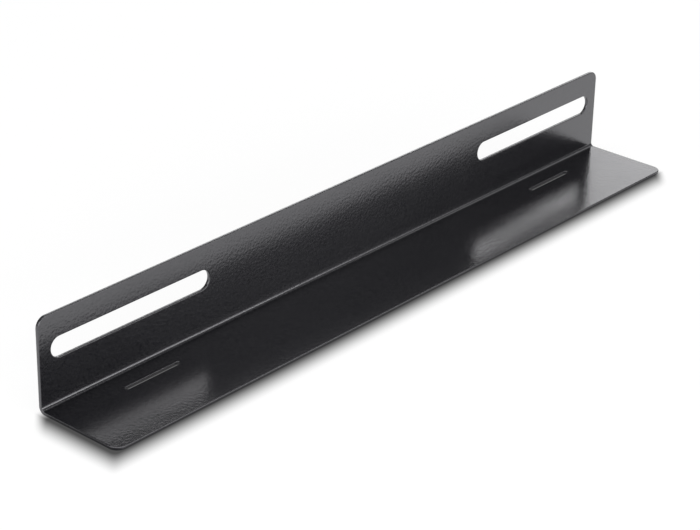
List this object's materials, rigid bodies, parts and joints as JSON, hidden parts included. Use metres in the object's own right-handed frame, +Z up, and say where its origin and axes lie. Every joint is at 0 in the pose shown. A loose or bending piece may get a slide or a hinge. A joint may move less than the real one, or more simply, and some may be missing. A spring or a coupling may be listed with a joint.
{
  "type": "rack mounting rail",
  "caption": "Black powder-coated steel L rail for a server rack, with long round-ended bolt slots in its upright and narrow strap slits in its shelf.",
  "frame": {"origin": "on the underside of the shelf, in the middle of the rail's length and depth", "axes": "+X along the rail, +Y from the shelf's front edge to the upright's back, +Z up the upright"},
  "size_m": [0.35, 0.0426, 0.04],
  "materials": {
    "powder_coat": "semi-gloss black powder coat with fine orange peel, on sheet steel"
  },
  "bodies": {
    "root": {"mounting_rail": "powder_coat"}
  },
  "joints": []
}
